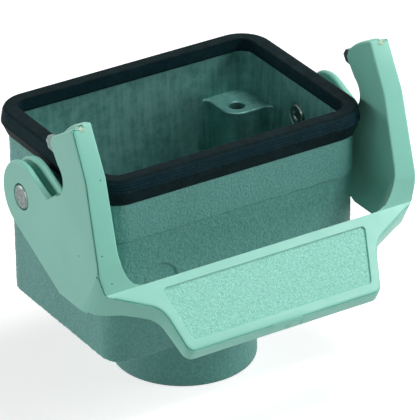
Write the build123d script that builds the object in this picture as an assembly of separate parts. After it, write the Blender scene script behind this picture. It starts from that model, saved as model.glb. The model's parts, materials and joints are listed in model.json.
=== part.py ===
from build123d import *
import os
from math import acos, atan2, cos, degrees, hypot, radians, sin, tan

# A coupler hood for a rectangular contact insert. A die-cast hood stands on its round cable neck, with a
# rubber gasket on its rim. One moulded locking lever turns on two rivets in the end walls, and a stamped
# spring plate lies in a slot of each lever arm. Millimetres, +Z up, lever in front at -Y. The origin is the
# centre of the neck's end face.

# Hood casting
hood_length = 60.0
hood_width = 43.0
corner_radius = 5.0
neck_radius = 15.3
neck_height = 15.5
body_height = 39.1
band_height = 11.5          # full-size band under the rim, down to the step line
step_depth = 0.28           # how far the wall lies back below the step line
outer_draft = 0.4           # degrees
rim_wall = 1.45
floor_wall = 2.7            # wall thickness at the floor
floor_thickness = 3.0
bottom_round = 0.6
entry_radius = 11.7         # core of an M25 x 1.5 thread
entry_chamfer = 0.8
dimple_radius = 3.8
dimple_depth = 0.3
dimple_x = -18.0
dimple_z = 31.9

# Screw bosses for the contact insert
screw_inset = 8.0           # from the hood's outline; the holes stand 44 by 27 apart
screw_hole_radius = 1.65    # core of an M4 thread
screw_hole_depth = 12.0
boss_radius = 3.7
boss_drop = 9.1             # boss tops below the rim
boss_fillet = 1.6

# Rim gasket
gasket_thickness = 2.9
gasket_overhang = 0.55      # inwards past the metal rim
gasket_top_lip = (1.45, 1.0)     # outwards past the hood at the top face, along X and Y
gasket_wide_lip = (1.95, 1.5)    # outwards at the widest line
gasket_corner_extra = 0.7        # the lip's corners are rounder than the casting's
gasket_edge = 0.4           # bevel round the top face
gasket_skirt_drop = 2.95    # skirt's lower edge below the rim
gasket_skirt_edge = 0.35

# Lever pivots
pivot_drop = 7.4            # pivot axis below the rim
pad_height = 2.3
pad_radius = 4.2
shank_radius = 2.0
head_radius = 2.6
head_proud = 0.15
head_edge = 0.3
tail_radius = 2.35
tail_height = 0.6
tail_edge = 0.3
tail_recess_gap = 0.4
press_clearance = 0.01
running_clearance = 0.05
head_gap = 0.2              # ring gap round the head in the arm's outer wall

# Lever moulding, heights and depths about the pivot axis
arm_clearance = 0.2         # between the pad and the arm
arm_thickness = 5.05        # at the pivot
arm_draft = 1.2             # degrees, outer faces
arm_wall = 1.9
slot_width = 1.4
lobe_radius = 7.5
notch_reach = 16.15         # pivot axis to notch centre
notch_angle = 51.3          # the swing from open to closed, degrees
notch_radius = 3.9
draw_angle = 28.0           # the side walls' lean from vertical, degrees
shoulder_flare = 0.3        # the S-curve's shoulder past the arm's outer face
shoulder_rise = 0.4         # the shoulder corner above the bar's top edge
shoulder_slope = 24.0
shoulder_run = 12.45        # from the shoulder corner in to the waist
bar_taper = 16.3
shoulder_radius = 6.0
waist_radius = 5.0
inner_radius = 5.2
bar_corner = 2.2            # round at the ends of the bar's foot

# Handle bar panel
panel_frame = 1.9
panel_frame_low = 2.3
panel_side = 1.4            # from the waist in to the panel's top corner
panel_narrowing = 2.9
panel_depth = 0.35
panel_corner = 0.8

# Spring plates
plate_thickness = 1.0
plate_ring_radius = 4.8
plate_ring_gap = 0.15
plate_nose = [
    (-14.9, 13.6), (-12.0, 13.7), (-8.3, 14.1), (-7.4, 15.5), (-8.3, 16.9), (-12.5, 18.4), (-15.6, 19.6)]
plate_front = [(-20.6, 15.6), (-21.6, 11.0), (-20.4, 7.6), (-4.0, -4.2), (0.0, -3.0)]
plate_inner = [(0.0, 3.5), (-2.2, 4.2), (-9.3, 1.3), (-12.2, 3.0), (-15.8, 5.8), (-17.3, 9.8)]
slot_front = [(-16.0, 26.0), (-22.6, 13.3), (-22.6, 8.5), (-3.5, -5.6)]

# Worked out
body_base = neck_height
step_z = body_base + body_height - band_height
rim_z = body_base + body_height
floor_z = body_base + floor_thickness
boss_top = rim_z - boss_drop
pivot_z = rim_z - pivot_drop
pad_face = hood_length / 2 + pad_height
arm_inner = pad_face + arm_clearance
arm_outer = arm_inner + arm_thickness
slot_inner = arm_inner + arm_wall
plate_mid = slot_inner + slot_width / 2
shoulder_half = arm_outer + shoulder_flare
waist_half = shoulder_half - shoulder_run
panel_half_top = waist_half - panel_side
panel_half_low = panel_half_top - panel_narrowing
recess_face = hood_length / 2 - rim_wall - 0.05
screw_x = hood_length / 2 - screw_inset
screw_y = hood_width / 2 - screw_inset


def lower_size(z):
    """Length, width and corner radius of the outer wall at a height below the step line."""
    inset = step_depth + (step_z - z) * tan(radians(outer_draft))
    return hood_length - 2 * inset, hood_width - 2 * inset, corner_radius - inset


def wall_at(z):
    """Distance from the hood's full-size outline to the cavity wall at a height."""
    floor_inset = (hood_length - lower_size(floor_z)[0]) / 2 + floor_wall
    share = (rim_z - z) / (rim_z - floor_z)
    return rim_wall + (floor_inset - rim_wall) * share


def cavity_size(z):
    """Length, width and corner radius of the cavity at a height."""
    inset = wall_at(z)
    return hood_length - 2 * inset, hood_width - 2 * inset, max(corner_radius - inset, 1.5)


def block(low, low_size, high, high_size):
    """A block between two heights whose ends are rectangles with rounded corners."""
    ends = [Pos(0, 0, low) * RectangleRounded(*low_size), Pos(0, 0, high) * RectangleRounded(*high_size)]
    return loft(ends, ruled=True)


def pivot_cylinder(radius, start, end):
    """A cylinder on the pivot axis between two distances from the middle."""
    return Pos((start + end) / 2, 0, pivot_z) * Rot(0, 90, 0) * Cylinder(radius, abs(end - start))


def screw_boss():
    """The boss in the corner at +X +Y, flared into both walls."""
    wall = wall_at(boss_top) - 0.05
    wall_x = hood_length / 2 - wall
    wall_y = hood_width / 2 - wall
    buried = 0.8
    column = Pos(screw_x, screw_y) * Circle(boss_radius)
    left = screw_x - boss_radius
    front = screw_y - boss_radius
    outline = column + Pos(left, screw_y) * Rectangle(
        wall_x - left + buried, wall_y - screw_y + buried, align=(Align.MIN, Align.MIN))
    outline += Pos(screw_x, front) * Rectangle(
        wall_x - screw_x + buried, wall_y - front + buried, align=(Align.MIN, Align.MIN))
    outline += Pos(left - boss_radius, wall_y) * Rectangle(
        wall_x - left + boss_radius + buried, buried, align=(Align.MIN, Align.MIN))
    outline += Pos(wall_x, front - boss_radius) * Rectangle(
        buried, wall_y - front + boss_radius + buried, align=(Align.MIN, Align.MIN))
    inner_corners = [v for v in outline.vertices()
                     if abs(v.X - left) < 0.01 and abs(v.Y - wall_y) < 0.01
                     or abs(v.X - wall_x) < 0.01 and abs(v.Y - front) < 0.01]
    outline = fillet(inner_corners, boss_fillet)
    boss = extrude(Pos(0, 0, floor_z - 0.5) * outline, boss_top - floor_z + 0.5)
    within = [size - 2 * step_depth for size in lower_size(body_base)]
    return boss & block(body_base, within, rim_z, within)


def hood_shell():
    """The casting: walls, floor, neck, screw bosses and pivot pads."""
    full = (hood_length, hood_width, corner_radius)
    shell = block(step_z, full, rim_z, full)
    lower = block(body_base, lower_size(body_base), step_z, lower_size(step_z))
    shell += fillet(lower.faces().sort_by(Axis.Z)[0].edges(), bottom_round)
    neck = Pos(0, 0, body_base / 2) * Cylinder(neck_radius, body_base)
    neck = chamfer(neck.faces().sort_by(Axis.Z)[0].edges(), entry_chamfer / 2)
    shell += neck
    shell -= block(floor_z, cavity_size(floor_z), rim_z, cavity_size(rim_z))
    for mirror_x in (False, True):
        for mirror_y in (False, True):
            boss = screw_boss()
            boss = mirror(boss, Plane.YZ) if mirror_x else boss
            boss = mirror(boss, Plane.XZ) if mirror_y else boss
            shell += boss
    for x in (-screw_x, screw_x):
        for y in (-screw_y, screw_y):
            hole = Cylinder(screw_hole_radius, screw_hole_depth)
            shell -= Pos(x, y, boss_top - screw_hole_depth / 2) * hole
    for side in (-1, 1):
        shell += pivot_cylinder(pad_radius, side * (recess_face + 0.5), side * pad_face)
        shell -= pivot_cylinder(shank_radius + press_clearance, side * (recess_face - 2), side * pad_face)
        shell -= pivot_cylinder(tail_radius + tail_recess_gap, side * (recess_face - 2), side * recess_face)
    shell -= Pos(0, 0, floor_z / 2) * Cylinder(entry_radius, floor_z)
    entry_mouth = Cone(entry_radius + entry_chamfer, entry_radius, entry_chamfer)
    shell -= Pos(0, 0, entry_chamfer / 2) * entry_mouth
    dimple_face = -lower_size(dimple_z)[1] / 2
    shell -= Pos(dimple_x, dimple_face, dimple_z) * Rot(90, 0, 0) * Cylinder(dimple_radius, 2 * dimple_depth)
    return shell


def gasket_size(lip_x, lip_y):
    """Outer length, width and corner radius of the gasket for lips along X and Y."""
    radius = corner_radius + (lip_x + lip_y) / 2 + gasket_corner_extra
    return hood_length + 2 * lip_x, hood_width + 2 * lip_y, radius


def rim_gasket():
    """The gasket: a flat ring on the rim whose skirt hugs the casting."""
    top = rim_z + gasket_thickness
    skirt = rim_z - gasket_skirt_drop
    casting = (hood_length, hood_width, corner_radius)
    skirt_edge = (hood_length + 2 * gasket_skirt_edge, hood_width + 2 * gasket_skirt_edge, corner_radius)
    ring = block(rim_z, gasket_size(*gasket_wide_lip), top, gasket_size(*gasket_top_lip))
    ring = chamfer(ring.faces().sort_by(Axis.Z)[-1].edges(), gasket_edge)
    ring += block(skirt, skirt_edge, rim_z, gasket_size(*gasket_wide_lip))
    ring -= block(skirt, casting, rim_z, casting)
    opening = rim_wall + gasket_overhang
    opening_size = (hood_length - 2 * opening, hood_width - 2 * opening, corner_radius - opening)
    return ring - block(rim_z, opening_size, top, opening_size)


def about_pivot(angle, radius):
    """A point round the pivot, its angle in degrees from +Y towards +Z."""
    return radius * cos(radians(angle)), radius * sin(radians(angle))


def tangent_angle(point, radius, turn):
    """The angle at which a line from a point touches a circle round the pivot."""
    return degrees(atan2(point[1], point[0])) + turn * degrees(acos(radius / hypot(*point)))


# Lever side view, (depth, height) about the pivot: the front from the hook down, then the bar
notch_y = -notch_reach * sin(radians(notch_angle))
notch_z = notch_reach * cos(radians(notch_angle))
hook_tip = (-20.2, 24.1)
front_crease = (-25.5, 14.3)
front_low = (-30.0, -2.5)
bar_bend = (-30.5, -8.8)
bar_foot = (-39.9, -21.3)
bar_foot_back = (-38.4, -24.1)
bar_back = (-30.6, -15.9)
underside_front = (-29.6, -15.05)
underside_back = (-14.75, -15.05)
notch_lip = (-10.2, 4.0)
hook_back_top = (-12.6, 19.3)
hook_back_corner = (-11.7, 17.0)
hook_mid = (-16.9, 22.6)


def across_draw(point):
    """How far a point of the side view lies from the pivot, across the draw direction."""
    return -point[0] * cos(radians(draw_angle)) - point[1] * sin(radians(draw_angle))


bar_top = across_draw(bar_bend)
shoulder_drop = bar_top - shoulder_rise


def lever_side():
    """The lever's outline from its side, one face in the YZ plane."""
    notch_low = (notch_y + notch_radius * cos(radians(261)), notch_z + notch_radius * sin(radians(261)))
    notch_mid = (notch_y - notch_radius, notch_z)
    notch_high = (notch_y + notch_radius * cos(radians(120)), notch_z + notch_radius * sin(radians(120)))
    lobe_top = about_pivot(tangent_angle(notch_lip, lobe_radius, -1), lobe_radius)
    lobe_low = about_pivot(tangent_angle(underside_back, lobe_radius, 1), lobe_radius)
    edges = [
        Line(notch_lip, lobe_top),
        ThreePointArc(lobe_top, (lobe_radius, 0), lobe_low),
        Polyline(lobe_low, underside_back, underside_front, bar_back, bar_foot_back, bar_foot,
                 bar_bend, front_low, front_crease, hook_tip),
        ThreePointArc(hook_tip, hook_mid, hook_back_top),
        Polyline(hook_back_top, hook_back_corner, notch_high),
        ThreePointArc(notch_high, notch_mid, notch_low),
        Line(notch_low, notch_lip),
    ]
    return Plane.YZ * Pos(0, pivot_z) * make_face(edges)


def lever_front():
    """The lever's outline across the draw direction: two arms, the S-curves and the bar."""
    top = -2 * lobe_radius
    end = bar_top + 20
    slope = tan(radians(shoulder_slope))
    waist_drop = shoulder_drop + (shoulder_half - waist_half) * slope
    foot_half = waist_half - (end - waist_drop) * tan(radians(bar_taper))
    outer = [(shoulder_half, top), (shoulder_half, shoulder_drop), (waist_half, waist_drop), (foot_half, end)]
    outline = make_face(Polyline(*outer, *[(-x, y) for x, y in reversed(outer)], close=True))
    window = make_face(Polyline((arm_inner, top), (arm_inner, bar_top), (-arm_inner, bar_top),
                                (-arm_inner, top), close=True))
    outline = fillet([v for v in outline.vertices() if abs(v.Y - shoulder_drop) < 0.01], shoulder_radius)
    outline = fillet([v for v in outline.vertices() if abs(v.Y - waist_drop) < 0.01], waist_radius)
    window = fillet([v for v in window.vertices() if abs(v.Y - bar_top) < 0.01], inner_radius)
    return outline - window


def slot_side():
    """The region of a spring slot from its side, open at the hook's back, the notch and the lobe."""
    behind = 3 * lobe_radius
    corners = [*slot_front, (behind, slot_front[-1][1]), (behind, slot_front[0][1])]
    return Plane.YZ * Pos(0, pivot_z) * make_face(Polyline(*corners, close=True))


def bar_panel():
    """The shallow recess in the face of the handle bar."""
    run = (bar_foot[0] - bar_bend[0], bar_foot[1] - bar_bend[1])
    length = hypot(*run)
    face = Plane(origin=(0, bar_bend[0], pivot_z + bar_bend[1]), x_dir=(1, 0, 0),
                 z_dir=(0, run[1] / length, -run[0] / length))
    high = -panel_frame
    low = -(length - panel_frame_low)
    outline = make_face(Polyline((panel_half_top, high), (panel_half_low, low), (-panel_half_low, low),
                                 (-panel_half_top, high), close=True))
    outline = fillet(outline.vertices(), panel_corner)
    return extrude(face * outline, panel_depth, both=True)


def foot_ends(lever):
    """The two short edges at the ends of the bar's foot."""
    low = [edge for edge in lever.edges() if edge.bounding_box().max.Y < bar_foot_back[0] + 0.01]
    return [edge for edge in low if abs(edge.center().X) > bar_corner]


def locking_lever():
    """The moulding: its side view cut to its front view, then slots, pivot holes and the panel."""
    wide = 2 * (shoulder_half + 2)
    lever = extrude(lever_side(), wide / 2, both=True)
    draw = Plane(origin=(0, 0, pivot_z), x_dir=(1, 0, 0),
                 z_dir=(0, sin(radians(draw_angle)), -cos(radians(draw_angle))))
    lever = lever & extrude(draw * lever_front(), 80, both=True)
    lean = tan(radians(arm_draft))
    high, low = 40.0, -40.0
    sides = [(arm_outer - high * lean, high), (arm_outer - low * lean, low)]
    slab = make_face(Polyline(*sides, *[(-x, y) for x, y in reversed(sides)], close=True))
    lever = lever & extrude(Plane.XZ * Pos(0, pivot_z) * slab, 80, both=True)
    lever = fillet(foot_ends(lever), bar_corner)
    for side in (-1, 1):
        slot = extrude(Pos(side * plate_mid, 0, 0) * slot_side(), slot_width / 2, both=True)
        lever -= slot
        lever -= pivot_cylinder(shank_radius + running_clearance, side * (arm_inner - 1), side * plate_mid)
        lever -= pivot_cylinder(head_radius + head_gap, side * plate_mid, side * (arm_outer + 2))
    return lever - bar_panel()


def cam_spring(side):
    """A stamped plate: a ring round the rivet, a neck in front of the notch and a nose past the hook."""
    plate = Circle(plate_ring_radius)
    plate += make_face(Polyline(*plate_nose, *plate_front, *plate_inner, close=True))
    plate -= Circle(head_radius + plate_ring_gap)
    plate = Plane.YZ * Pos(0, pivot_z) * plate
    return extrude(Pos(side * plate_mid, 0, 0) * plate, plate_thickness / 2, both=True)


def pivot_rivet(side):
    """A shouldered rivet: its head in the arm, its shank in the pad and its tail inside the hood."""
    head_face = arm_outer + head_proud
    head = pivot_cylinder(head_radius, side * (slot_inner + running_clearance), side * head_face)
    head = chamfer(head.faces().sort_by(Axis.X)[-1 if side > 0 else 0].edges(), head_edge, 2 * head_edge)
    shank = pivot_cylinder(shank_radius, side * recess_face, side * (slot_inner + 0.5))
    tail = pivot_cylinder(tail_radius, side * (recess_face - tail_height), side * recess_face)
    tail = chamfer(tail.faces().sort_by(Axis.X)[0 if side > 0 else -1].edges(), tail_edge)
    return head + shank + tail


os.makedirs("parts", exist_ok=True)
export_step(hood_shell(), "parts/hood_shell.step")
export_step(rim_gasket(), "parts/rim_gasket.step")
export_step(locking_lever(), "parts/locking_lever.step")
for name, side in (("left", -1), ("right", 1)):
    export_step(cam_spring(side), f"parts/{name}_cam_spring.step")
    export_step(pivot_rivet(side), f"parts/{name}_pivot_rivet.step")
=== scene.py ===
import json
import math

import bmesh
import bpy
from mathutils import Matrix, Vector, noise
from mathutils.bvhtree import BVHTree


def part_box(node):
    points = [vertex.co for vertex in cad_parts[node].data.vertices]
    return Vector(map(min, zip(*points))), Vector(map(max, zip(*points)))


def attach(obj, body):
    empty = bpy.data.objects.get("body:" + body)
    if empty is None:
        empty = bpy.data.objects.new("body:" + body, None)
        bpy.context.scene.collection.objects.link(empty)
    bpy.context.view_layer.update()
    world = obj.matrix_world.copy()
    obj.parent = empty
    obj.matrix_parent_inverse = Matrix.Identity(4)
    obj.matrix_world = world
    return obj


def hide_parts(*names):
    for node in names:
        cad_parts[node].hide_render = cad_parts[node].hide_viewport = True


# A coupler hood for a rectangular contact insert: a coated casting on its cable neck, a rubber gasket on
# the rim, and a moulded locking lever on two rivets, with a steel spring plate in each arm.

MM = 0.001

# How near counts as one corner, as on a plane, as at a place, and as not yet outside
weld_reach = 0.002 * MM
plane_reach = 0.01 * MM
place_reach = 0.05 * MM
outside_reach = 0.02 * MM

# Angles between neighbouring faces, and how parallel a face of a plane is
flat_angle = math.radians(0.6)
round_angle = math.radians(28)
parting_angle = math.radians(14)
hard_ridge = math.radians(55)
hard_crease = math.radians(25)
parallel = 0.99
round_segments = 2

# Material indices that only mark faces while a mesh is being made
facet_mark = 3
round_mark = 7

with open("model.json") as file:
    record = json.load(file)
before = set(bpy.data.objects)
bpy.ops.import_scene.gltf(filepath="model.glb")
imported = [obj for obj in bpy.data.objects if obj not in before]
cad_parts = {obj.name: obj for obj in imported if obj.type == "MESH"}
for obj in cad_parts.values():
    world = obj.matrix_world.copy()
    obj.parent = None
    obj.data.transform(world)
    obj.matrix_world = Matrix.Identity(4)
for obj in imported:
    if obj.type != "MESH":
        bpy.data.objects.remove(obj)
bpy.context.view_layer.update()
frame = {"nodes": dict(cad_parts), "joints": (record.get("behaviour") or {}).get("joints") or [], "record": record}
nodes = frame["nodes"]

# From the frame
_, hood_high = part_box("hood_shell")
gasket_low, gasket_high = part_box("rim_gasket")
rivet_low, rivet_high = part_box("right_pivot_rivet")
rim_z = hood_high[2]
pivot_z = frame["joints"][0]["pos_m"][2]
entry_radius = frame["record"]["mounts"][0]["dims"]["r_mm"] * MM

# Casting
hood_half_length = 30.0 * MM
hood_half_width = hood_high[1]
corner_radius = 5.0 * MM
floor_z = 18.5 * MM
step_z = rim_z - 11.5 * MM
wall_middle = 1.0 * MM
casting_edge = 0.35 * MM
step_edge = 0.08 * MM
groove_height = 0.3 * MM
groove_inset = 0.3 * MM
step_inner = corner_radius - 0.5 * MM
step_outer = corner_radius - 0.1 * MM
pebble_grid = 0.46 * MM
pebble_size = 0.95 * MM
pebble_height = 0.09 * MM
pebble_fade = 2 * MM

# Thread in the cable entry, M25 x 1.5
thread_pitch = 1.5 * MM
thread_root = 12.5 * MM
mouth_radius = 13.2 * MM
thread_start = 0.9 * MM
thread_end = 17.8 * MM

# Gasket section. The grooves in its band are in millimetres.
gasket_inside = 2.0 * MM
lip_extra = 0.45 * MM
lip_corner = 0.7 * MM
band_grooves = (2.0, 1.35, 0.7)
groove_depth = 0.07
groove_half = 0.16

# Lever, depth along Y and height along Z
arm_inner = 32.5 * MM
bar_bend = Vector((0, -30.5, 38.4)) * MM
bar_foot = Vector((0, -39.9, 25.9)) * MM
bar_foot_back = Vector((0, -38.4, 23.1)) * MM
panel_depth = 0.35 * MM
grain_grid = 0.3 * MM
grain_size = 0.5 * MM
grain_height = 0.045 * MM
parting_edge = 0.75 * MM
lobe_edge = 0.65 * MM
lever_edge = 0.42 * MM
hole_edge = 0.2 * MM
panel_edge = 0.12 * MM
lobe_reach = 9.0 * MM
bend_reach = 0.6 * MM
longest_rim = 60.0 * MM
hole_radius = 3.2 * MM
parting_gap = (-3.3 * MM, 3.8 * MM)
parting_half = 0.14 * MM
parting_depth = 0.24 * MM
foot_band = 2 * MM
round_front = 0.3
parting_front = 0.35
outward_least = 0.15
hook_tip = Vector((0, -20.2, 71.3)) * MM
hook_back = Vector((0, -12.6, 66.5)) * MM
hook_dome = 0.5 * MM
hook_shelf = 35.2 * MM
hook_drop = 0.85 * MM
shelf_cutter = (5 * MM, 16 * MM, 4 * MM)
gate_start = Vector((36.3, -19.9, 70.15)) * MM
gate_end = Vector((33.6, -20.3, 70.35)) * MM
gate_half_depth = 0.75 * MM
gate_half_height = 0.6 * MM

# Small marks on the lever. The specks' places are in millimetres.
specks = [(-33.86, -25.58, 61.18), (-37.61, -22.89, 44.32), (-36.19, -29.44, 46.8), (-34.6, -30.33, 40.6)]
speck_radius = 0.22 * MM
ejector_x = 0.44 * MM
ejector_drop = 1.75 * MM
ejector_radius = 0.6 * MM
facet_width = 3.2 * MM
marks_end = parting_gap[1] + 1.2 * MM
marks_grid = 0.12 * MM
marks_half = 0.16 * MM
marks_depth = 0.12 * MM

# Steel
stamped_edge = 0.14 * MM
shank_radius = 2.0 * MM
head_seat = arm_inner + 2.0 * MM
tail_radius = 2.35 * MM
tail_thick = 0.6 * MM

# Camera
camera_place = (-0.4121, -0.6803, 0.4603)
camera_turn = math.radians(31.6225)
camera_tilt = math.radians(28.2384)
camera_roll = math.radians(0.7101)
camera_lens = 377.1

# Light
lamp_aim = (0, 0, 0.035)
lamps = (  # name, azimuth and elevation in degrees, watts
    ("top", 60, 75, 5.8),
    ("front right", 45, 30, 4.9),
    ("left", -90, 8, 1.9),
    ("back left", -135, 8, 2.2),
    ("low right", 60, 8, 0.8),
)
lamp_size = 0.3
ambient = 0.06
floor_grey = 0.6
floor_glow = 0.72

# Colours as they look in plain light, 0 to 255
coat_colour = (82, 147, 139)
bare_colour = (104, 160, 154)
lever_colour = (130, 201, 183)
fresh_break_colour = (196, 226, 200)
rubber_colour = (8, 24, 26)
# Painted sheen of the gasket's outer band, also the base of its bloom and dust
sheen_bloom_dust_colour = (14, 38, 44)
steel_colour = (118, 132, 128)
plate_colour = (112, 134, 128)


def linear(colour, change=0):
    """A colour of 0 to 255, all its parts changed alike, as the linear values that a shader takes."""
    parts = [max(part + change, 0) / 255 for part in colour]
    return [((part + 0.055) / 1.055) ** 2.4 if part > 0.04 else part / 12.92 for part in parts] + [1.0]


class Shader:
    """A material whose nodes are made one call at a time."""

    def __init__(self, name):
        self.material = bpy.data.materials.new(name)
        self.material.use_nodes = True
        self.tree = self.material.node_tree
        self.surface = self.tree.nodes["Principled BSDF"]

    def put(self, value, socket):
        """Links a socket to another one, or sets its value."""
        if isinstance(value, bpy.types.NodeSocket):
            self.tree.links.new(value, socket)
        else:
            socket.default_value = value

    def add(self, kind, inputs=(), **settings):
        """A new node with its settings, input values and links."""
        node = self.tree.nodes.new(kind)
        for key, value in settings.items():
            setattr(node, key, value)
        for key, value in dict(inputs).items():
            self.put(value, node.inputs[key])
        return node

    def place(self, stretch=(1, 1, 1)):
        """Object coordinates in metres, stretched along each axis."""
        place = self.add("ShaderNodeTexCoord").outputs["Object"]
        return self.add("ShaderNodeMapping", {"Vector": place, "Scale": stretch}).outputs["Vector"]

    def noise(self, size, detail=2.0, roughness=0.5, vector=None):
        """A noise texture with features about size metres across."""
        inputs = {"Vector": vector or self.place(), "Scale": 1 / size}
        inputs |= {"Detail": detail, "Roughness": roughness}
        return self.add("ShaderNodeTexNoise", inputs).outputs["Fac"]

    def cells(self, size):
        """Distance to the nearest border between cells about size metres across."""
        inputs = {"Vector": self.place(), "Scale": 1 / size}
        return self.add("ShaderNodeTexVoronoi", inputs, feature="DISTANCE_TO_EDGE").outputs["Distance"]

    def spread(self, value, low, high, out_low=0.0, out_high=1.0):
        """Maps a value's range to another one."""
        inputs = {"Value": value, "From Min": low, "From Max": high, "To Min": out_low, "To Max": out_high}
        return self.add("ShaderNodeMapRange", inputs).outputs["Result"]

    def near(self, point, radius):
        """1 at a point given in millimetres, falling to 0 at the radius."""
        inputs = {0: self.place(), 1: Vector(point) * MM}
        gap = self.add("ShaderNodeVectorMath", inputs, operation="DISTANCE").outputs["Value"]
        return self.spread(gap, 0.5 * radius, radius, 1.0, 0.0)

    def height(self):
        """Height above the neck's end face, in metres."""
        return self.add("ShaderNodeSeparateXYZ", {0: self.place()}).outputs["Z"]

    def mix(self, share, first, second):
        """A blend of two colours."""
        node = self.add("ShaderNodeMix", data_type="RGBA")
        for socket, value in zip((node.inputs[0], node.inputs[6], node.inputs[7]), (share, first, second)):
            self.put(value, socket)
        return node.outputs[2]

    def bump(self, height, strength, distance, normal=None):
        """A bump from a height."""
        inputs = {"Height": height, "Strength": strength, "Distance": distance}
        if normal is not None:
            inputs["Normal"] = normal
        return self.add("ShaderNodeBump", inputs).outputs["Normal"]

    def finish(self, **sockets):
        """Sets the surface's sockets by value or link."""
        for key, value in sockets.items():
            self.put(value, self.surface.inputs[key.replace("_", " ")])
        return self.material


def powder_coat():
    """Grey-green coat with leathery pebbles, with painted shade in the creases and painted light on the crowns."""
    s = Shader("powder_coat")
    creases = s.cells(0.6 * MM)
    wrinkle = s.noise(0.55 * MM, detail=3, roughness=0.6)
    grain = s.noise(0.2 * MM)
    cloud = s.noise(14 * MM, detail=3)
    base = s.mix(s.spread(cloud, 0.3, 0.7), linear(coat_colour, -5), linear(coat_colour, 5))
    # Painted light: the crowns of the wrinkle bumps are coloured lighter.
    colour = s.mix(s.spread(wrinkle, 0.38, 0.66, 0.0, 0.5), base, linear(coat_colour, 30))
    # Painted shade: the creases between the pebbles are coloured darker.
    colour = s.mix(s.spread(creases, 0.0, 0.12, 0.2, 0.0), colour, linear(coat_colour, -50))
    normal = s.bump(wrinkle, 1.0, 0.26 * MM)
    normal = s.bump(s.spread(creases, 0.0, 0.3), 0.25, 0.06 * MM, normal)
    normal = s.bump(grain, 0.3, 0.04 * MM, normal)
    return s.finish(Base_Color=colour, Roughness=0.5, Normal=normal)


def bare_casting():
    """The inside of the casting: mottled metal with thin overspray and faint upright draw marks."""
    s = Shader("bare_casting")
    mottle = s.noise(2.4 * MM, detail=6, roughness=0.75)
    streaks = s.noise(1.1 * MM, detail=3, vector=s.place((1, 1, 0.08)))
    grain = s.noise(0.3 * MM, detail=3)
    colour = s.mix(s.spread(mottle, 0.35, 0.65), linear(bare_colour, -26), linear(bare_colour, 8))
    colour = s.mix(s.spread(streaks, 0.45, 0.7, 0.0, 0.5), colour, linear(bare_colour, 26))
    normal = s.bump(grain, 0.4, 0.07 * MM)
    normal = s.bump(mottle, 0.3, 0.12 * MM, normal)
    return s.finish(Base_Color=colour, Roughness=0.42, Metallic=0.35, Normal=normal)


def lever_plastic():
    """Satin moulded plastic, a little lighter than the casting, with a few dark specks."""
    s = Shader("lever_plastic")
    cloud = s.noise(18 * MM, detail=2)
    grain = s.noise(0.25 * MM)
    flow = s.noise(3 * MM, detail=3)
    colour = s.mix(s.spread(cloud, 0.3, 0.7), linear(lever_colour, -4), linear(lever_colour, 4))
    for point in specks:
        colour = s.mix(s.near(point, speck_radius), colour, linear(lever_colour, -110))
    normal = s.bump(grain, 0.12, 0.02 * MM)
    normal = s.bump(flow, 0.08, 0.06 * MM, normal)
    rough = s.spread(flow, 0.3, 0.7, 0.34, 0.42)
    return s.finish(Base_Color=colour, Roughness=rough, Normal=normal)


def sparked_plastic():
    """The panel's floor, as rough as the spark-eroded mould that shaped it."""
    s = Shader("sparked_plastic")
    speckle = s.noise(0.3 * MM, detail=3, roughness=0.65)
    coarse = s.noise(0.6 * MM)
    colour = s.mix(s.spread(speckle, 0.35, 0.65), linear(lever_colour, -20), linear(lever_colour, 20))
    normal = s.bump(coarse, 0.6, 0.12 * MM)
    normal = s.bump(speckle, 0.7, 0.06 * MM, normal)
    return s.finish(Base_Color=colour, Roughness=0.5, Normal=normal)


def broken_plastic():
    """The rough, paler plastic where the sprue was broken off."""
    s = Shader("broken_plastic")
    ragged = s.noise(0.5 * MM, detail=4, roughness=0.7)
    dull, bright = linear(fresh_break_colour, -45), linear(fresh_break_colour, 12)
    colour = s.mix(s.spread(ragged, 0.35, 0.65), dull, bright)
    return s.finish(Base_Color=colour, Roughness=0.6, Normal=s.bump(ragged, 0.8, 0.15 * MM))


def black_rubber():
    """Moulded black rubber: near black on top, with a painted faint blue sheen on the outer band, blotched lighter
    with bloom and dust.
    """
    s = Shader("black_rubber")
    bloom = s.noise(2.5 * MM, detail=5, roughness=0.65)
    dust = s.noise(0.5 * MM, detail=3)
    grain = s.noise(0.12 * MM)
    height = s.height()
    band = s.spread(height, rim_z + 0.1 * MM, rim_z + 0.5 * MM)
    top = s.spread(height, gasket_high[2] - 0.5 * MM, gasket_high[2] - 0.15 * MM, 1.0, 0.0)
    share = s.add("ShaderNodeMath", {0: band, 1: top}, operation="MULTIPLY").outputs[0]
    # Painted sheen: the outer band is coloured lighter and bluer than the top.
    colour = s.mix(share, linear(rubber_colour), linear(sheen_bloom_dust_colour))
    colour = s.mix(s.spread(bloom, 0.45, 0.75, 0.0, 0.35), colour, linear(sheen_bloom_dust_colour, 22))
    colour = s.mix(s.spread(dust, 0.62, 0.72, 0.0, 0.3), colour, linear(sheen_bloom_dust_colour, 50))
    normal = s.bump(grain, 0.25, 0.02 * MM)
    return s.finish(Base_Color=colour, Roughness=0.6, Specular_IOR_Level=0.04, Normal=normal)


def worn_steel(name, colour, roughness):
    """Dull plated steel, mottled and finely scratched."""
    s = Shader(name)
    mottle = s.noise(0.8 * MM, detail=5, roughness=0.7)
    scratches = s.noise(0.12 * MM, detail=2, vector=s.place((1, 1, 0.15)))
    tone = s.mix(s.spread(mottle, 0.35, 0.65), linear(colour, -34), linear(colour, 20))
    rough = s.spread(mottle, 0.3, 0.7, roughness - 0.06, roughness + 0.1)
    normal = s.bump(scratches, 0.2, 0.01 * MM)
    normal = s.bump(mottle, 0.25, 0.04 * MM, normal)
    return s.finish(Base_Color=tone, Metallic=1.0, Roughness=rough, Normal=normal)


def index_faces(mesh, index, chosen=lambda face: True):
    """Gives the chosen faces a material index."""
    for face in mesh.faces:
        if chosen(face):
            face.material_index = index


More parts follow.
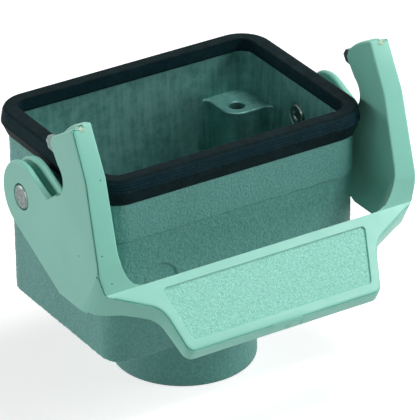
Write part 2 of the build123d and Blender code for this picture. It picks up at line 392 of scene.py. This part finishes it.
def loose_copy(node):
    """The faces of a CAD node, joined along their edges."""
    mesh = bmesh.new()
    mesh.from_mesh(nodes[node].data)
    bmesh.ops.remove_doubles(mesh, verts=mesh.verts, dist=weld_reach)
    index_faces(mesh, 0)
    return mesh


def merge_flat(mesh):
    """Joins the facets that lie in one plane and have one material."""
    bmesh.ops.dissolve_limit(mesh, angle_limit=flat_angle, verts=mesh.verts, edges=mesh.edges,
                             delimit={"MATERIAL"})
    mesh.normal_update()


def piece_of(mesh, name, materials):
    """A new object made of a mesh, with its materials."""
    data = bpy.data.meshes.new(name)
    mesh.to_mesh(data)
    mesh.free()
    piece = bpy.data.objects.new(name, data)
    bpy.context.scene.collection.objects.link(piece)
    for material in materials:
        data.materials.append(material)
    return piece


def settle(piece):
    """The bmesh of a piece once its modifiers have acted; the piece itself is deleted."""
    depsgraph = bpy.context.evaluated_depsgraph_get()
    data = bpy.data.meshes.new_from_object(piece.evaluated_get(depsgraph))
    mesh = bmesh.new()
    mesh.from_mesh(data)
    bpy.data.objects.remove(piece)
    return mesh


def bevelled(mesh, widths):
    """A copy of a mesh with the given edges rounded. The new faces are marked as rounds."""
    copy = mesh.copy()
    copy.edges.ensure_lookup_table()
    weights = copy.edges.layers.float.new("bevel_weight_edge")
    widest = max(widths.values())
    for index, width in widths.items():
        copy.edges[index][weights] = width / widest
    piece = piece_of(copy, "rounding", [None] * (round_mark + 1))
    bevel = piece.modifiers.new("bevel", "BEVEL")
    bevel.limit_method = "WEIGHT"
    bevel.width = widest
    bevel.segments = round_segments
    bevel.use_clamp_overlap = False
    bevel.material = round_mark
    return settle(piece)


def round_edges(mesh, width_of):
    """Rounds the convex edges as wide as width_of says. Corners that come to lie outside are put back."""
    solid = BVHTree.FromBMesh(mesh)
    mesh.edges.index_update()
    chosen = [edge for edge in mesh.edges
              if edge.is_manifold and edge.is_convex and edge.calc_face_angle() > round_angle]
    rounded = bevelled(mesh, {edge.index: width_of(edge) for edge in chosen})
    for corner in rounded.verts:
        nearest, normal, _, _ = solid.find_nearest(corner.co)
        if (corner.co - nearest).dot(normal) > outside_reach:
            corner.co = nearest
    rounded.normal_update()
    return rounded


def cut(mesh, cutters):
    """A mesh less its cutters, which are meshes too."""
    tool = bmesh.new()
    for cutter in cutters:
        data = bpy.data.meshes.new("cutter")
        cutter.to_mesh(data)
        cutter.free()
        tool.from_mesh(data)
    tool_piece = piece_of(tool, "tool", [])
    piece = piece_of(mesh, "cutting", [])
    boolean = piece.modifiers.new("cut", "BOOLEAN")
    boolean.operation = "DIFFERENCE"
    boolean.solver = "EXACT"
    boolean.use_self = True
    boolean.object = tool_piece
    mesh = settle(piece)
    bpy.data.objects.remove(tool_piece)
    return mesh


def box_mesh(centre, size, turn):
    """A box for a cut."""
    mesh = bmesh.new()
    place = Matrix.Translation(centre) @ turn.to_4x4() @ Matrix.Diagonal((*size, 1))
    bmesh.ops.create_cube(mesh, size=1, matrix=place)
    return mesh


def shade(piece):
    """Smooth shading, with a hard line in each hollow corner and along each edge that isn't rounded."""
    mesh = bmesh.new()
    mesh.from_mesh(piece.data)
    for face in mesh.faces:
        face.smooth = True
    for edge in mesh.edges:
        least = hard_ridge if edge.is_convex else hard_crease
        edge.smooth = not (edge.is_manifold and edge.calc_face_angle() > least)
    mesh.to_mesh(piece.data)
    mesh.free()
    weighted = piece.modifiers.new("even shading", "WEIGHTED_NORMAL")
    weighted.keep_sharp = True


def reach_along(face, direction):
    """The lowest and highest reach of a face along a direction."""
    reach = [corner.co.dot(direction) for corner in face.verts]
    return min(reach), max(reach)


def grid_cut(mesh, index, step, directions):
    """Cuts the faces with a material index into a grid, across each direction."""
    slack = 0.02 * step
    for direction in directions:
        marked = [face for face in mesh.faces if face.material_index == index]
        chosen = [(*reach_along(face, direction), face) for face in marked]
        waiting = sorted(chosen, key=lambda item: -item[0])
        level = math.floor(waiting[-1][0] / step) * step
        crossing = []
        while waiting or crossing:
            while waiting and waiting[-1][0] < level - slack:
                _, high, face = waiting.pop()
                if high > level + slack:
                    crossing.append(face)
            if crossing:
                edges = dict.fromkeys(edge for face in crossing for edge in face.edges)
                corners = dict.fromkeys(corner for face in crossing for corner in face.verts)
                made = bmesh.ops.bisect_plane(mesh, geom=[*corners, *edges, *crossing], dist=slack,
                                              plane_co=direction * level, plane_no=direction)["geom"]
                faces = [item for item in made if isinstance(item, bmesh.types.BMFace)]
                crossing = [face for face in faces if reach_along(face, direction)[1] > level + step + slack]
            level += step


def roughen(mesh, index, height_at):
    """Moves the corners inside the faces with a material index along their normals."""
    mesh.normal_update()
    moves = []
    for corner in mesh.verts:
        if all(face.material_index == index for face in corner.link_faces):
            moves.append((corner, corner.normal * height_at(corner.co)))
    for corner, move in moves:
        corner.co += move


def dress(piece, body, slot, *replaced):
    """Puts a piece on the body that it rides on and hides the CAD nodes that it stands for. Its finish is not
    used.
    """
    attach(piece, body)
    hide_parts(*replaced)


def pebble(place):
    """Height of the coat's leathery pebbles at a place: crowns with creases between them."""
    gaps = noise.voronoi(place / pebble_size)[0]
    crown = min((gaps[1] - gaps[0]) / 0.5, 1.0)
    swell = noise.noise(place / (2.2 * pebble_size))
    fade = min(max((place.z - thread_start) / pebble_fade, 0.0), 1.0)
    return pebble_height * fade * (crown - 0.8 + 0.5 * swell)


def casting_width(edge):
    """How wide an edge of the casting is rounded."""
    middle = (edge.verts[0].co + edge.verts[1].co) / 2
    return step_edge if abs(middle.z - step_z) < 0.1 * MM else casting_edge


def from_core(place):
    """The level reach of a place past the rectangle that the casting's rounded corners turn about."""
    core_x = max(min(place.x, hood_half_length - corner_radius), corner_radius - hood_half_length)
    core_y = max(min(place.y, hood_half_width - corner_radius), corner_radius - hood_half_width)
    return Vector((place.x - core_x, place.y - core_y, 0))


def step_groove(mesh):
    """Deepens the step round the casting into a fine groove under the band."""
    bmesh.ops.bisect_plane(mesh, geom=[*mesh.verts, *mesh.edges, *mesh.faces], dist=plane_reach,
                           plane_co=(0, 0, step_z - groove_height), plane_no=(0, 0, 1))
    for corner in mesh.verts:
        outward = from_core(corner.co)
        at_step = abs(corner.co.z - step_z) < place_reach
        if at_step and step_inner < outward.length < step_outer:
            corner.co -= outward.normalized() * groove_inset


def is_inside(face):
    """Whether a face of the casting is bare: the cavity, the bosses and the cable entry."""
    place = face.calc_center_median()
    cavity = from_core(place).length < corner_radius - wall_middle
    entry = math.hypot(place.x, place.y) < entry_radius + wall_middle
    return cavity and place.z > floor_z - wall_middle or entry and place.z > thread_start / 2


def casting():
    """The hood: coated outside, bare inside, its bore opened to the thread's root."""
    mesh = loose_copy("hood_shell")
    for corner in mesh.verts:
        radius = math.hypot(corner.co.x, corner.co.y)
        if abs(radius - entry_radius) < place_reach and corner.co.z < floor_z + wall_middle:
            corner.co.xy *= thread_root / radius
        elif abs(corner.co.z) < plane_reach and radius < thread_root + wall_middle:
            corner.co.xy *= mouth_radius / radius
    index_faces(mesh, 1, is_inside)
    merge_flat(mesh)
    step_groove(mesh)
    mesh = round_edges(mesh, casting_width)
    index_faces(mesh, 1, lambda face: face.material_index == round_mark and is_inside(face))
    index_faces(mesh, 0, lambda face: face.material_index == round_mark)
    grid_cut(mesh, 0, pebble_grid, [Vector((1, 0, 0)), Vector((0, 1, 0)), Vector((0, 0, 1))])
    roughen(mesh, 0, pebble)
    piece = piece_of(mesh, "hood_casting", [powder_coat(), bare_casting()])
    shade(piece)
    dress(piece, "hood", "coated_casting", "hood_shell")


def ring_mesh(rings):
    """A closed band through rings of points, each ring joined to the next and the last to the first."""
    mesh = bmesh.new()
    rows = [[mesh.verts.new(point) for point in ring] for ring in rings]
    for row, next_row in zip(rows, rows[1:] + rows[:1]):
        for k in range(len(row)):
            mesh.faces.new((row[k - 1], row[k], next_row[k], next_row[k - 1]))
    bmesh.ops.recalc_face_normals(mesh, faces=mesh.faces)
    return mesh


def rounded_rectangle(half_length, half_width, radius, z, corner_steps=14, side_steps=24):
    """Points round a rounded rectangle, as many for every size."""
    points = []
    for quarter, (sign_x, sign_y) in enumerate(((1, 1), (-1, 1), (-1, -1), (1, -1))):
        centre = Vector((sign_x * (half_length - radius), sign_y * (half_width - radius), z))
        for k in range(corner_steps + 1):
            turn = math.radians(90 * (quarter + k / corner_steps))
            points.append(centre + radius * Vector((math.cos(turn), math.sin(turn), 0)))
    evened = []
    for k, point in enumerate(points):
        evened.append(point)
        following = points[(k + 1) % len(points)]
        if k % (corner_steps + 1) == corner_steps:
            evened += [point.lerp(following, share / side_steps) for share in range(1, side_steps)]
    return evened


def gasket_section():
    """The gasket's section in millimetres, from inside over the top: reach past the hood and height."""
    thick = (gasket_high[2] - rim_z) / MM
    drop = (rim_z - gasket_low[2]) / MM
    inside = -gasket_inside / MM
    wide = (gasket_high[1] - hood_half_width) / MM
    section = [(inside, 0.0), (inside, thick - 0.3), (inside + 0.08, thick - 0.09), (inside + 0.3, thick)]
    edge_round = 0.55
    shoulder = wide - 0.5
    for k in range(6):
        turn = math.radians(90 - 16 * k)
        across = shoulder + edge_round * (math.cos(turn) - 1)
        section.append((across, thick + edge_round * (math.sin(turn) - 1)))
    for height in band_grooves:
        at = shoulder + (wide - shoulder) * (1 - height / thick)
        section += [(at, height + groove_half), (at - groove_depth, height + groove_half / 3),
                    (at - groove_depth, height - groove_half / 3), (at, height - groove_half)]
    section += [(wide, 0.12), (wide, -0.08), (wide - 0.1, -0.2), (0.42, -drop + 0.25), (0.34, -drop + 0.06),
                (0.2, -drop), (0.0, -drop + 0.05), (0.0, 0.0)]
    return section


def gasket():
    """The rim gasket: flat on top, with fine lines round its band and a skirt that hugs the casting."""
    rings = []
    for reach, height in gasket_section():
        outside = reach > 0.01
        along = reach * MM + (lip_extra * min(reach, 1.0) if outside else 0.0)
        radius = corner_radius + (along + reach * MM) / 2 + (lip_corner * min(reach, 1.0) if outside else 0.0)
        rings.append(rounded_rectangle(hood_half_length + along, hood_half_width + reach * MM, radius,
                                       rim_z + height * MM))
    piece = piece_of(ring_mesh(rings), "rim_seal", [black_rubber()])
    shade(piece)
    dress(piece, "hood", "gasket_rubber", "rim_gasket")


def turned(profile, side, steps=72):
    """A solid turned about the pivot axis, from points of (distance from the middle, radius)."""
    mesh = bmesh.new()
    rows = []
    for distance, radius in profile:
        ring = []
        for k in range(steps):
            turn = math.tau * k / steps
            up = radius * math.sin(turn)
            ring.append(mesh.verts.new((side * distance, radius * math.cos(turn), pivot_z + up)))
        rows.append(ring)
    for row, next_row in zip(rows, rows[1:]):
        for k in range(steps):
            mesh.faces.new((row[k - 1], row[k], next_row[k], next_row[k - 1]))
    for row in (rows[0], rows[-1]):
        mesh.faces.new(row)
    bmesh.ops.recalc_face_normals(mesh, faces=mesh.faces)
    return mesh


def rivet(name, side, steel):
    """A pivot rivet: its rolled head in the arm and its spread tail inside the hood."""
    face = rivet_high[0]
    tail = rivet_low[0]
    head = (rivet_high[2] - rivet_low[2]) / 2
    profile = [(face - 0.1 * MM, 0.01 * MM), (face - 0.09 * MM, 1.2 * MM), (face - 0.02 * MM, 1.7 * MM)]
    for k in range(7):
        turn = math.radians(90 - 15 * k)
        across = head - 0.75 * MM * (1 - math.cos(turn))
        profile.append((face - 0.5 * MM * (1 - math.sin(turn)), across))
    profile += [(head_seat, head), (head_seat, shank_radius), (tail + tail_thick, shank_radius)]
    profile += [(tail + tail_thick, tail_radius), (tail + 0.3 * MM, tail_radius),
                (tail + 0.08 * MM, tail_radius - 0.15 * MM), (tail, tail_radius - 0.45 * MM),
                (tail + 0.05 * MM, 1.2 * MM), (tail + 0.3 * MM, 0.9 * MM), (tail + 0.35 * MM, 0.01 * MM)]
    piece = piece_of(turned(profile, side), name, [steel])
    shade(piece)
    return piece


def entry_thread():
    """The internal thread of the cable entry, one ridge wound up the bore."""
    steps = 64
    turns = (thread_end - thread_start) / thread_pitch
    crest = entry_radius + 0.03 * MM
    ridge = ((0.05, -0.5), (0.0, -0.44), (1.0, -0.07), (1.0, 0.07), (0.0, 0.44), (0.05, 0.5))
    mesh = bmesh.new()
    rows = []
    for k in range(round(turns * steps) + 1):
        turn = math.tau * k / steps
        from_end = min(k, turns * steps - k) / steps
        rise = min(from_end, 1.0)
        row = []
        for inward, along in ridge:
            radius = thread_root + 0.05 * MM - (thread_root - crest) * rise * inward
            height = thread_start + thread_pitch * (k / steps + along * max(rise, 0.1))
            row.append(mesh.verts.new((radius * math.cos(turn), radius * math.sin(turn), height)))
        rows.append(row)
    for row, next_row in zip(rows, rows[1:]):
        for k in range(len(row)):
            mesh.faces.new((row[k - 1], row[k], next_row[k], next_row[k - 1]))
    for row in (rows[0], rows[-1]):
        mesh.faces.new(row)
    bmesh.ops.recalc_face_normals(mesh, faces=mesh.faces)
    piece = piece_of(mesh, "entry_thread", [bpy.data.materials["bare_casting"]])
    shade(piece)
    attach(piece, "hood")


def bar_plane():
    """The handle bar's face: a point of it, its normal and its downward direction."""
    down = (bar_foot - bar_bend).normalized()
    return bar_bend, Vector((0, down.z, -down.y)), down


def facet_plane():
    """The narrow facet under the bar: a point of it, its normal and its downward direction."""
    down = (bar_foot_back - bar_foot).normalized()
    return bar_foot, Vector((0, down.z, -down.y)), down


def on_panel_floor(face):
    """Whether a face of the lever is the floor of the bar's panel."""
    point, normal, _ = bar_plane()
    depth = (point - face.calc_center_median()).dot(normal)
    return face.normal.dot(normal) > parallel and abs(depth - panel_depth) < place_reach


def lever_width(edge):
    """How wide an edge of the lever is rounded. Edges that end at the hollow bend stay sharp."""
    if any((corner.co.yz - bar_bend.yz).length < bend_reach for corner in edge.verts):
        return 0.0
    middle = (edge.verts[0].co + edge.verts[1].co) / 2
    normal = (edge.link_faces[0].normal + edge.link_faces[1].normal).normalized()
    near_panel = any(other.material_index == 1
                     for face in edge.link_faces for around in face.edges for other in around.link_faces)
    if near_panel and edge.calc_length() < longest_rim and is_panel_rim(edge):
        return panel_edge
    from_pivot = math.hypot(middle.y, middle.z - pivot_z)
    if from_pivot < hole_radius:
        return hole_edge
    if from_pivot < lobe_reach:
        return lobe_edge
    outward = normal.x * (1 if middle.x > 0 else -1)
    if normal.y < -round_front and (outward > outward_least or middle.z < bar_bend.z):
        return parting_edge
    return lever_edge


def is_panel_rim(edge):
    """Whether an edge is part of the rim round the panel: one of its faces is the panel's low wall."""
    _, normal, _ = bar_plane()
    tall = []
    for face in edge.link_faces:
        depths = [(bar_bend - corner.co).dot(normal) for corner in face.verts]
        tall.append(max(depths) - min(depths) > 0.9 * panel_depth and max(depths) < panel_depth + place_reach)
    return any(tall)


def parting_line(mesh):
    """A fine groove along the middle of the rounds at the front, where the mould's halves met."""
    middle = []
    for edge in mesh.edges:
        if not edge.is_manifold or any(face.material_index != round_mark for face in edge.link_faces):
            continue
        place = (edge.verts[0].co + edge.verts[1].co) / 2
        normal = (edge.link_faces[0].normal + edge.link_faces[1].normal).normalized()
        outward = normal.x * (1 if place.x > 0 else -1)
        at_foot = place.z < bar_foot.z + foot_band and not parting_gap[0] < place.x < parting_gap[1]
        off_lobe = math.hypot(place.y, place.z - pivot_z) > lobe_reach
        in_front = edge.calc_face_angle() > parting_angle and normal.y < -parting_front
        if in_front and off_lobe and (outward > outward_least or at_foot):
            middle.append(edge)
    made = bmesh.ops.bevel(mesh, geom=middle, offset=parting_half, offset_type="OFFSET", segments=2,
                           profile=0.5, affect="EDGES", clamp_overlap=False)
    fresh = set(made["faces"])
    mesh.normal_update()
    inner = [corner for corner in made["verts"] if all(face in fresh for face in corner.link_faces)]
    moves = [(corner, corner.normal * parting_depth) for corner in inner]
    for corner, move in moves:
        corner.co -= move


def hook_shelves():
    """Cutters that lower the outer part of each hook's top."""
    slope = (hook_back - hook_tip).normalized()
    turn = Matrix(((1, 0, 0), (0, slope.y, -slope.z), (0, slope.z, slope.y)))
    lift = turn @ Vector((0, 0, 1))
    wide, long, tall = shelf_cutter
    middle = (hook_tip + hook_back) / 2 + lift * (tall / 2 + hook_dome - hook_drop)
    cutters = []
    for side in (-1, 1):
        centre = middle + Vector((side * (hook_shelf + wide / 2), 0, 0))
        cutters.append(box_mesh(centre, (wide, long, tall), turn))
    return cutters


def on_gap_facet(face):
    """Whether a face lies on the facet under the bar, at the parting line's gap or just right of it."""
    point, normal, down = facet_plane()
    place = face.calc_center_median()
    across = (place - point).dot(down)
    within = parting_gap[0] < place.x < marks_end
    return within and face.normal.dot(normal) > parallel and 0 < across < facet_width


def facet_marks(place):
    """Height of the facet at a place, below 0 in its marks: an upright line and an ejector pin's ring."""
    point, _, down = facet_plane()
    across = (place - point).dot(down) - ejector_drop
    from_pin = math.hypot(place.x - ejector_x, across)
    ring = max(1 - abs(from_pin - ejector_radius) / marks_half, 0)
    line = max(1 - abs(place.x - parting_gap[1]) / marks_half, 0)
    return -marks_depth * max(ring, line)


def gate_remain(side):
    """The ragged stub along a hook's front top edge, where the sprue was broken off."""
    mirror = Vector((side, 1, 1))
    mesh = bmesh.new()
    bmesh.ops.create_icosphere(mesh, subdivisions=4, radius=1)
    middle = (gate_start + gate_end) / 2 * mirror
    size = Vector(((gate_end - gate_start).length / 2, gate_half_depth, gate_half_height))
    for corner in mesh.verts:
        bulge = 1 + 0.35 * noise.noise(corner.co * 2.3 + Vector((5 * side, 0, 0)))
        bulge += 0.25 * noise.noise(corner.co * 6.1)
        corner.co = middle + corner.co * bulge * size
    index_faces(mesh, 2)
    return mesh


def grain(place):
    """Height of the panel floor's spark-eroded grain."""
    return grain_height * (noise.noise(place / grain_size) + 0.6 * noise.noise(place / (0.5 * grain_size)))


def lever():
    """The moulded lever: rounded edges, parting line, panel grain and the marks of its mould."""
    mesh = cut(loose_copy("locking_lever"), hook_shelves())
    bmesh.ops.remove_doubles(mesh, verts=mesh.verts, dist=weld_reach)
    mesh.normal_update()
    index_faces(mesh, 0)
    index_faces(mesh, 1, on_panel_floor)
    merge_flat(mesh)
    for x in (*parting_gap, marks_end):
        bmesh.ops.bisect_plane(mesh, geom=[*mesh.verts, *mesh.edges, *mesh.faces], dist=plane_reach,
                               plane_co=(x, 0, 0), plane_no=(1, 0, 0))
    mesh = round_edges(mesh, lever_width)
    parting_line(mesh)
    index_faces(mesh, 0, lambda face: face.material_index > 1)
    index_faces(mesh, facet_mark, on_gap_facet)
    _, _, facet_down = facet_plane()
    grid_cut(mesh, facet_mark, marks_grid, [Vector((1, 0, 0)), facet_down])
    roughen(mesh, facet_mark, facet_marks)
    index_faces(mesh, 0, lambda face: face.material_index == facet_mark)
    _, _, down = bar_plane()
    grid_cut(mesh, 1, grain_grid, [Vector((1, 0, 0)), down])
    roughen(mesh, 1, grain)
    for side in (-1, 1):
        stub = bpy.data.meshes.new("stub")
        made = gate_remain(side)
        made.to_mesh(stub)
        made.free()
        mesh.from_mesh(stub)
    piece = piece_of(mesh, "lever_moulding", [lever_plastic(), sparked_plastic(), broken_plastic()])
    shade(piece)
    dress(piece, "lever", "lever_plastic", "locking_lever")


def spring_plate(side_name, steel):
    """A stamped spring plate with its edges broken."""
    mesh = loose_copy(f"{side_name}_cam_spring")
    merge_flat(mesh)
    mesh = round_edges(mesh, lambda edge: stamped_edge)
    index_faces(mesh, 0)
    piece = piece_of(mesh, f"{side_name}_spring_plate", [steel])
    shade(piece)
    dress(piece, "lever", "spring_steel", f"{side_name}_cam_spring")


def camera():
    """The photograph's camera."""
    data = bpy.data.cameras.new("camera")
    data.lens = camera_lens
    data.sensor_width = 36.0
    data.clip_start = 0.01
    right = Vector((math.cos(camera_turn), -math.sin(camera_turn), 0))
    forward = Vector((math.sin(camera_turn) * math.cos(camera_tilt),
                      math.cos(camera_turn) * math.cos(camera_tilt), -math.sin(camera_tilt)))
    up = right.cross(forward)
    x_axis = right * math.cos(camera_roll) - up * math.sin(camera_roll)
    y_axis = right * math.sin(camera_roll) + up * math.cos(camera_roll)
    turn = Matrix((x_axis, y_axis, -forward)).transposed().to_4x4()
    eye = bpy.data.objects.new("camera", data)
    eye.matrix_world = Matrix.Translation(camera_place) @ turn
    bpy.context.scene.collection.objects.link(eye)
    bpy.context.scene.camera = eye


def lamp(name, azimuth, elevation, power):
    """A soft square light one metre from the object. Azimuth 0 is in front and 90 on the right."""
    data = bpy.data.lights.new(name, "AREA")
    data.shape = "SQUARE"
    data.size = lamp_size
    data.energy = power
    light = bpy.data.objects.new(name, data)
    turn, tilt = math.radians(azimuth), math.radians(elevation)
    away = Vector((math.sin(turn) * math.cos(tilt), -math.cos(turn) * math.cos(tilt), math.sin(tilt)))
    light.rotation_mode = "QUATERNION"
    light.rotation_quaternion = (-away).to_track_quat("-Z", "Y")
    light.location = Vector(lamp_aim) + away
    bpy.context.scene.collection.objects.link(light)


def seen_directly(tree):
    """1 for rays that see the background straight, in gloss or through glass, otherwise 0."""
    path = tree.nodes.new("ShaderNodeLightPath")
    total = path.outputs["Is Camera Ray"]
    for kind in ("Is Glossy Ray", "Is Transmission Ray"):
        either = tree.nodes.new("ShaderNodeMath")
        either.operation = "MAXIMUM"
        tree.links.new(total, either.inputs[0])
        tree.links.new(path.outputs[kind], either.inputs[1])
        total = either.outputs[0]
    return total


def world_light():
    """A white background, and a weak light from all round."""
    world = bpy.data.worlds.new("world")
    bpy.context.scene.world = world
    world.use_nodes = True
    tree = world.node_tree
    light = tree.nodes["Background"]
    light.inputs["Color"].default_value = (1, 1, 1, 1)
    light.inputs["Strength"].default_value = ambient
    seen = tree.nodes.new("ShaderNodeBackground")
    seen.inputs["Strength"].default_value = 1.0
    seen.inputs["Color"].default_value = (1, 1, 1, 1)
    choose = tree.nodes.new("ShaderNodeMixShader")
    tree.links.new(seen_directly(tree), choose.inputs[0])
    tree.links.new(light.outputs[0], choose.inputs[1])
    tree.links.new(seen.outputs[0], choose.inputs[2])
    tree.links.new(choose.outputs[0], tree.nodes["World Output"].inputs["Surface"])


def white_floor():
    """A floor that looks white and keeps the shadow."""
    data = bpy.data.meshes.new("floor")
    half = 3.0
    corners = [(-half, -half, 0), (half, -half, 0), (half, half, 0), (-half, half, 0)]
    data.from_pydata(corners, [], [(0, 1, 2, 3)])
    floor = bpy.data.objects.new("floor", data)
    bpy.context.scene.collection.objects.link(floor)
    s = Shader("floor")
    s.finish(Base_Color=(floor_grey, floor_grey, floor_grey, 1), Roughness=1.0, Emission_Color=(1, 1, 1, 1),
             Emission_Strength=s.spread(seen_directly(s.tree), 0, 1, 0, floor_glow))
    data.materials.append(s.material)


def studio():
    """The lamps, the world and the floor."""
    for settings in lamps:
        lamp(*settings)
    world_light()
    white_floor()


studio()
camera()
casting()
entry_thread()
gasket()
lever()
plate_steel = worn_steel("spring_steel", plate_colour, 0.3)
rivet_steel = worn_steel("rivet_steel", steel_colour, 0.3)
for side_name, side in (("left", -1), ("right", 1)):
    spring_plate(side_name, plate_steel)
    dress(rivet(f"{side_name}_rivet", side, rivet_steel), "hood", "rivet_steel", f"{side_name}_pivot_rivet")

bpy.context.scene.view_settings.view_transform = "Standard"
